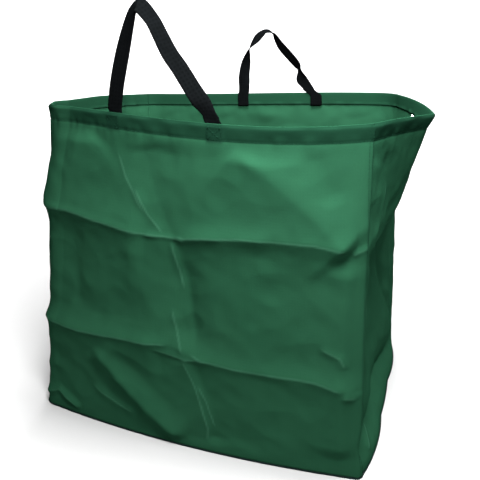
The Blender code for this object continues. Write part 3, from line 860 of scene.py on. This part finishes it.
def cloth_strip(name, first_post, material):
    """One strip of the walls, folded over at the rim, with the hem turned in."""
    places = wall_columns(first_post)
    heights = np.linspace(0.0, 1.0, round(HEIGHT / ROW) + 1)
    heights[-1] = 1.0 - FOLD_RADIUS / HEIGHT
    body, normals, edge, backing_and_shade = wall_surface(places, heights, first_post)

    # The fold over the rim, and the hem's inner face
    top, top_normal = body[-1], normals[-1]
    extra = []
    for step in range(1, RIM_STEPS + 1):
        angle = math.pi * step / RIM_STEPS
        inward = FOLD_RADIUS * (1 - math.cos(angle))
        lift = FOLD_RADIUS * math.sin(angle)
        extra.append(np.column_stack([top[:, :2] - top_normal * inward, top[:, 2] + lift]))
    step_in = under_lap(places, first_post)
    for step in range(1, HEM_STEPS + 1):
        drop = (HEM - FOLD_RADIUS) * step / HEM_STEPS
        height = heights[-1] - drop / HEIGHT
        hem_spot, hem_normal = wall_rows(places, [height])
        outer = wall_surface(places, np.array([height]), first_post)[0]
        stands_out = np.sum((outer[0, :, :2] - hem_spot[0]) * hem_normal[0], axis=1)
        inward = 2 * FOLD_RADIUS + (HEM_EDGE_INWARD - 2 * FOLD_RADIUS) * step / HEM_STEPS + step_in
        inward = np.maximum(inward, HEM_CLEARANCE - stands_out)
        plan = hem_spot[0] - hem_normal[0] * inward[:, None]
        extra.append(np.column_stack([plan, top[:, 2] - drop]))
    points = np.concatenate([body, np.array(extra)], axis=0)
    across = round_distance(places)
    uv = np.dstack(np.meshgrid(across, line_distance(points[:, 0])))
    edges, strap_shades, hems = np.zeros((3, *points.shape[:2]))
    rows = len(heights)
    edges[:rows] = edge
    strap_shades[:rows] = backing_and_shade
    # Painted shade on the hem above its stitch line, less of it on the inner face
    above_stitches = body[:, :, 2] - rim_heights(places)[None, :] + STITCH_ROW
    # Painted light round the front left corner takes most of the hem's painted shade away
    from_corner = np.abs(round_gap(places, LIT_CORNER_PLACE))
    hem_shade_share = LIT_CORNER_HEM + (1 - LIT_CORNER_HEM) * smooth(from_corner / LIT_CORNER_REACH)
    hems[:rows] = smooth((above_stitches + 0.0015) / 0.002) * hem_shade_share[None, :]
    hems[rows:] = INNER_HEM_SHADE
    item = grid_mesh(name, points, uv, {"edge": edges, "backing_and_shade": strap_shades, "hem": hems})
    thicken(item, CLOTH)
    return finish_piece(item, material, "bag", (name.replace("_cloth", ""),))


# Stitches

def on_line(line, distance, place):
    """The point at a distance along a line of points."""
    return np.array([np.interp(place, distance, line[:, axis]) for axis in range(3)])


def stitches(name, lines, material):
    """Short threads laid end to end along lines of points, as one mesh of closed bodies."""
    points = []
    faces = []
    for line in lines:
        line = np.array(line, float)
        distance = line_distance(line)
        count = max(1, round(distance[-1] / STITCH_PITCH))
        for index in range(count):
            ends = (STITCH_SHARES + index) / count * distance[-1]
            first, last = (on_line(line, distance, end) for end in ends)
            run = (last - first) / np.linalg.norm(last - first)
            side = np.cross(run, ASKEW)
            side /= np.linalg.norm(side)
            above = np.cross(run, side)
            base = len(points)
            for share, swell in STITCH_TAPER:
                for corner in range(STITCH_SIDES):
                    angle = corner * 2 * math.pi / STITCH_SIDES
                    reach = (side * math.cos(angle) + above * math.sin(angle)) * THREAD * swell
                    points.append(first + (last - first) * share + reach)
            end = len(points) - STITCH_SIDES
            for ring_start in range(base, end, STITCH_SIDES):
                for corner in range(STITCH_SIDES):
                    turn = (corner + 1) % STITCH_SIDES
                    following = ring_start + STITCH_SIDES
                    faces.append((ring_start + corner, ring_start + turn,
                                  following + turn, following + corner))
            faces.append(tuple(range(base + STITCH_SIDES - 1, base - 1, -1)))
            faces.append(tuple(range(end, len(points))))
    mesh = bpy.data.meshes.new(name)
    mesh.from_pydata([tuple(p) for p in points], [], faces)
    mesh.shade_smooth()
    return finish_piece(new_item(name, mesh), material, "bag", ())


def thread_points(places, heights, first_post=None):
    """Points a little outside the wall, where a thread lies."""
    points, normals, _, _ = wall_surface(np.array(places), np.array(heights), first_post)
    points[:, :, :2] += normals * THREAD_LIFT
    return points


def strap_boxes(post, shift, sign):
    """Lines of a stitched box with a cross, where each end of a handle is sewn to the hem."""
    lines = []
    for side in (-1, 1):
        centre = shift + sign * side * HANDLE_SPACING / 2
        for first, last in BOX_STROKES:
            stroke = []
            for along, below in np.linspace(BOX_CORNERS[first], BOX_CORNERS[last], BOX_STEPS):
                place = [post + 0.5 + (along + centre) / RIM_LENGTHS[post]]
                stroke.append(thread_points(place, [1 - below / HEIGHT])[0, 0])
            lines.append(stroke)
    return lines


def seams(thread):
    """Hem, lapped seam and strap stitches on the outside of the walls."""
    hem_share = 1 - STITCH_ROW / HEIGHT
    hem_lines = []
    seam_lines = []
    for first_post in (BACK_LEFT, FRONT_RIGHT):
        places = wall_columns(first_post)
        hem_lines.append(thread_points(places, [hem_share], first_post)[0])
        last = first_post + 3
        for inset in SEAM_STITCHES:
            place = [last + inset / RIM_LENGTHS[last % SIDES]]
            seam_lines.append(thread_points(place, np.linspace(0.01, 0.995, 160))[:, 0])
    boxes = [line for strap in STRAPS for line in strap_boxes(*strap)]
    stitches("hem_stitches", hem_lines, thread)
    stitches("seam_stitches", seam_lines, thread)
    stitches("strap_stitches", boxes, thread)


def base_cloth(material):
    """The dark base panel, with a round edge against the walls' feet."""
    places = np.arange(0, SIDES, 0.01)
    spots, normals = wall_rows(places, [0.0])
    middle = spots[0].mean(axis=0)

    def level(plan, z):
        return np.column_stack([plan, np.full(len(places), z)])

    def face(shares, z):
        return [level(middle + (spots[0] - middle) * share, z) for share in shares]

    rings = face(BASE_SHARES, BASE_LOW)
    for step in range(EDGE_ARC_STEPS + 1):
        angle = math.pi * (step / EDGE_ARC_STEPS - 0.5)
        out = EDGE_OUT + EDGE_RADIUS * math.cos(angle)
        z = EDGE_MIDDLE + EDGE_RADIUS * math.sin(angle)
        rings.append(level(spots[0] + normals[0] * out, z))
    points = np.array(rings + face(reversed(BASE_SHARES), BASE_HIGH))
    item = grid_mesh("base_cloth", points, points[:, :, :2].copy(), close=True)
    mend_mesh(item, lambda work: bmesh.ops.remove_doubles(work, verts=work.verts, dist=1e-6))
    return finish_piece(item, material, "bag", ("base_panel",))


# Handles

def rim_spot(post, along, inward, up):
    """A point at the middle of a side, moved along and inwards, measured up from the rim."""
    place = np.array([post + 0.5 + along / RIM_LENGTHS[post]])
    height = 1.0 + min(up, 0.0) / HEIGHT
    spots, normals = wall_rows(place, [height])
    plan = spots[0, 0] - normals[0, 0] * inward
    z = FOOT_HEIGHT + height * (rim_heights(place)[0] - FOOT_HEIGHT) + max(up, 0.0)
    return Vector((plan[0], plan[1], z))


def spline(knots, step):
    """Points an even step apart on a smooth curve through the knots."""
    knots = np.array(knots, float)
    padded = np.vstack([2 * knots[0] - knots[1], knots, 2 * knots[-1] - knots[-2]])
    dense = []
    for index in range(len(knots) - 1):
        a, b, c, d = padded[index:index + 4]
        for t in np.linspace(0, 1, 16, endpoint=False):
            dense.append(0.5 * (2 * b + (c - a) * t + (2 * a - 5 * b + 4 * c - d) * t ** 2
                                + (3 * b - a - 3 * c + d) * t ** 3))
    dense = np.array(dense + [knots[-1]])
    distance = line_distance(dense[:, :2])
    places = np.linspace(0, distance[-1], max(8, round(distance[-1] / step)))
    return np.stack([np.interp(places, distance, dense[:, axis]) for axis in range(3)], axis=1)


def handle_frame(post, shift, sign):
    """Middle and directions of a handle's plane, on the line where its webbing bends."""
    roots = [rim_spot(post, shift + sign * side * HANDLE_SPACING / 2, STRAP_INWARD, BEND_RISE)
             for side in (-1, 1)]
    middle = (roots[0] + roots[1]) / 2
    along = (roots[1] - roots[0]).normalized()
    outward = along.cross(Vector((0, 0, 1))).normalized() * sign
    up = outward.cross(along) * sign
    return {"post": post, "shift": shift, "sign": sign, "middle": middle, "along": along,
            "outward": outward, "up": up}


def strap_stations(place, crossings, line, height):
    """Centres and width directions of the webbing, from one sewn end over the loop to the other."""
    half = HANDLE_SPACING / 2
    ramp = 0.25 * SEWN_LENGTH
    centres = []
    widths = []
    depths = np.linspace(-SEWN_LENGTH, BEND_RISE - 0.001, SEWN_ROWS)

    def sewn(side, crossing):
        slant = crossing * half - side * half
        found = []
        for up in depths:
            drift = slant * float(smooth((up + ramp) / (ramp + BEND_RISE)))
            pair = []
            for edge in (-0.5, 0.5):
                along = side * half + edge * WEBBING_WIDTH + drift
                shifted = place["shift"] + place["sign"] * along
                on_hem = rim_spot(place["post"], shifted, STRAP_INWARD, up)
                on_line = place["middle"] + place["along"] * along + place["up"] * (up - BEND_RISE)
                pair.append(on_hem.lerp(on_line, float(smooth(up / (0.6 * BEND_RISE)))))
            found.append(((pair[0] + pair[1]) / 2, (pair[1] - pair[0]).normalized()))
        return found

    for centre, width in sewn(-1, crossings[0]):
        centres.append(centre)
        widths.append(width)
    loop = [(along * half, up * height - BEND_RISE, turn) for along, up, turn in line]
    first, last = ((crossing * half, LOOP_START, 0.0) for crossing in crossings)
    stations = spline([first, *loop, last], WEBBING_ROW)
    tangents = np.gradient(stations[:, :2], axis=0)
    tangents /= np.linalg.norm(tangents, axis=1)[:, None]
    for row, (along, up, turn) in enumerate(stations):
        side = 1.0 if row < len(stations) / 2 else -1.0
        square = Vector((tangents[row][1], -tangents[row][0]))
        flat = Vector((side, 0.0)).lerp(square, float(smooth(up / LEVEL_LENGTH))).normalized()
        flat = place["along"] * flat.x + place["up"] * flat.y
        turn = math.radians(turn) * float(smooth(up / LEVEL_LENGTH))
        centres.append(place["middle"] + place["along"] * along + place["up"] * up)
        widths.append(flat * math.cos(turn) + place["outward"] * math.sin(turn))
    for centre, width in reversed(sewn(1, crossings[1])):
        centres.append(centre)
        widths.append(-width)
    return centres, widths


def webbing(name, centres, widths, material):
    """A flat woven strap with rounded, slightly thicker edges."""
    profile = []
    for step in range(WEBBING_COLUMNS + 1):
        share = step / WEBBING_COLUMNS * 2 - 1
        bead = 0.5 + 0.12 * math.exp(-((abs(share) - 0.9) / 0.08) ** 2)
        past = max(0.0, (abs(share) - 0.93) / 0.07)
        thick = bead * (math.sqrt(max(0.0, 1 - past ** 2)) * 0.9 + 0.1)
        profile.append((share * WEBBING_WIDTH / 2, thick * WEBBING_THICKNESS))
    section = profile + [(x, -t) for x, t in reversed(profile)]
    points = []
    uv = []
    travelled = 0.0
    for row, (centre, width) in enumerate(zip(centres, widths)):
        before = centres[max(row - 1, 0)]
        after = centres[min(row + 1, len(centres) - 1)]
        travelled += (centre - before).length
        normal = width.cross((after - before).normalized()).normalized()
        points.append([tuple(centre + width * x + normal * t) for x, t in section])
        uv.append([(x, travelled) for x, _ in section])
    item = grid_mesh(name, np.array(points), np.array(uv), close=True)

    def close_ends(work):
        open_edges = [edge for edge in work.edges if edge.is_boundary]
        bmesh.ops.holes_fill(work, edges=open_edges, sides=0)

    mend_mesh(item, close_ends)
    item.data.materials.append(material)
    return item


def handle(name, strap, crossings, line, height, material):
    """A handle in one piece, in place of its two sewn ends and its loop."""
    place = handle_frame(*strap)
    centres, widths = strap_stations(place, crossings, line, height)
    item = webbing(name, centres, widths, material)
    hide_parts(name + "_left_end", name + "_loop", name + "_right_end")
    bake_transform(item)


# Label

def label(material):
    """A blank label that hangs from the hem's lower edge, inside the right end."""
    across = np.linspace(-LABEL_WIDTH / 2, LABEL_WIDTH / 2, LABEL_COLUMNS)
    places = across / RIM_LENGTHS[RIGHT_CREASE] + RIGHT_CREASE + LABEL_SHARE
    points = []
    for row in range(LABEL_ROWS):
        share = row / (LABEL_ROWS - 1)
        drop = LABEL_DROP + LABEL_LENGTH * share
        spots, normals = wall_rows(places, [1.0 - drop / HEIGHT])
        inward = LABEL_STAND[0] + LABEL_STAND[1] * share + LABEL_WAVE * math.sin(row / 3.0)
        plan = spots[0] - normals[0] * inward
        points.append(np.column_stack([plan, rim_heights(places) - drop]))
    down = np.linspace(0, LABEL_LENGTH, LABEL_ROWS)
    uv = np.dstack(np.meshgrid(across + LABEL_WIDTH / 2, down))
    item = grid_mesh("label", np.array(points), uv)
    thicken(item, LABEL_THICKNESS)
    return finish_piece(item, material, "label", ("care_label",))


# Stage, light and camera

def stage():
    """A pale floor that turns up into a round backdrop."""
    angles = np.linspace(0, 2 * math.pi, STAGE_COLUMNS, endpoint=False)
    points = [[(radius * math.cos(a), radius * math.sin(a), z - STAGE_DROP) for a in angles]
              for radius, z in STAGE_OUTLINE]
    floor = grid_mesh("floor", np.array(points), close=True)
    made, _, shader = new_material("pale_floor", FLOOR_GREY, 0.9)
    shader.inputs["Specular IOR Level"].default_value = 0.1
    floor.data.materials.append(made)


def area_light(name, place, target, size, power):
    data = bpy.data.lights.new(name, "AREA")
    data.shape = "RECTANGLE"
    data.size, data.size_y = size
    data.energy = power
    light = new_item(name, data)
    light.visible_camera = False
    light.location = place
    light.rotation_euler = (Vector(target) - Vector(place)).to_track_quat("-Z", "Y").to_euler()


def lights():
    world = bpy.data.worlds.new("studio")
    world.use_nodes = True
    background = world.node_tree.nodes["Background"]
    background.inputs["Color"].default_value = (1, 1, 1, 1)
    background.inputs["Strength"].default_value = WORLD_STRENGTH
    bpy.context.scene.world = world
    for name, settings in LIGHTS.items():
        area_light(name, *settings)
    bpy.context.scene.view_settings.view_transform = "Standard"


def camera():
    data = bpy.data.cameras.new("camera")
    data.lens = CAMERA_LENS
    data.sensor_width = SENSOR
    item = new_item("camera", data)
    across = Vector((math.cos(CAMERA_HEADING), math.sin(CAMERA_HEADING), 0))
    ahead = Vector((-math.sin(CAMERA_HEADING), math.cos(CAMERA_HEADING), 0))
    forward = ahead * math.cos(CAMERA_PITCH) - Vector((0, 0, 1)) * math.sin(CAMERA_PITCH)
    up = across.cross(forward)
    turn = Matrix((across, up, -forward)).transposed().to_4x4()
    item.matrix_world = Matrix.Translation(CAMERA_PLACE) @ turn
    bpy.context.scene.camera = item


def build():
    green = cloth_material()
    base = plain_weave_material("base_weave", *BASE_WEAVE)
    black = plain_weave_material("black_webbing", *WEBBING_WEAVE)
    thread = plain_weave_material("green_thread", *THREAD_WEAVE)
    white = plain_weave_material("label_tape", *LABEL_WEAVE)
    front_left = cloth_strip("wall_front_left_cloth", BACK_LEFT, green)
    back_right = cloth_strip("wall_back_right_cloth", FRONT_RIGHT, green)
    bottom = base_cloth(base)
    handle("front_handle", STRAPS[0], FRONT_CROSSINGS, FRONT_LINE, FRONT_HANDLE_HEIGHT,
           black)
    handle("rear_handle", STRAPS[1], REAR_CROSSINGS, REAR_LINE, REAR_HANDLE_HEIGHT,
           black)
    tape = label(white)
    seams(thread)
    stage()
    lights()
    camera()


build()
bpy.context.view_layer.update()
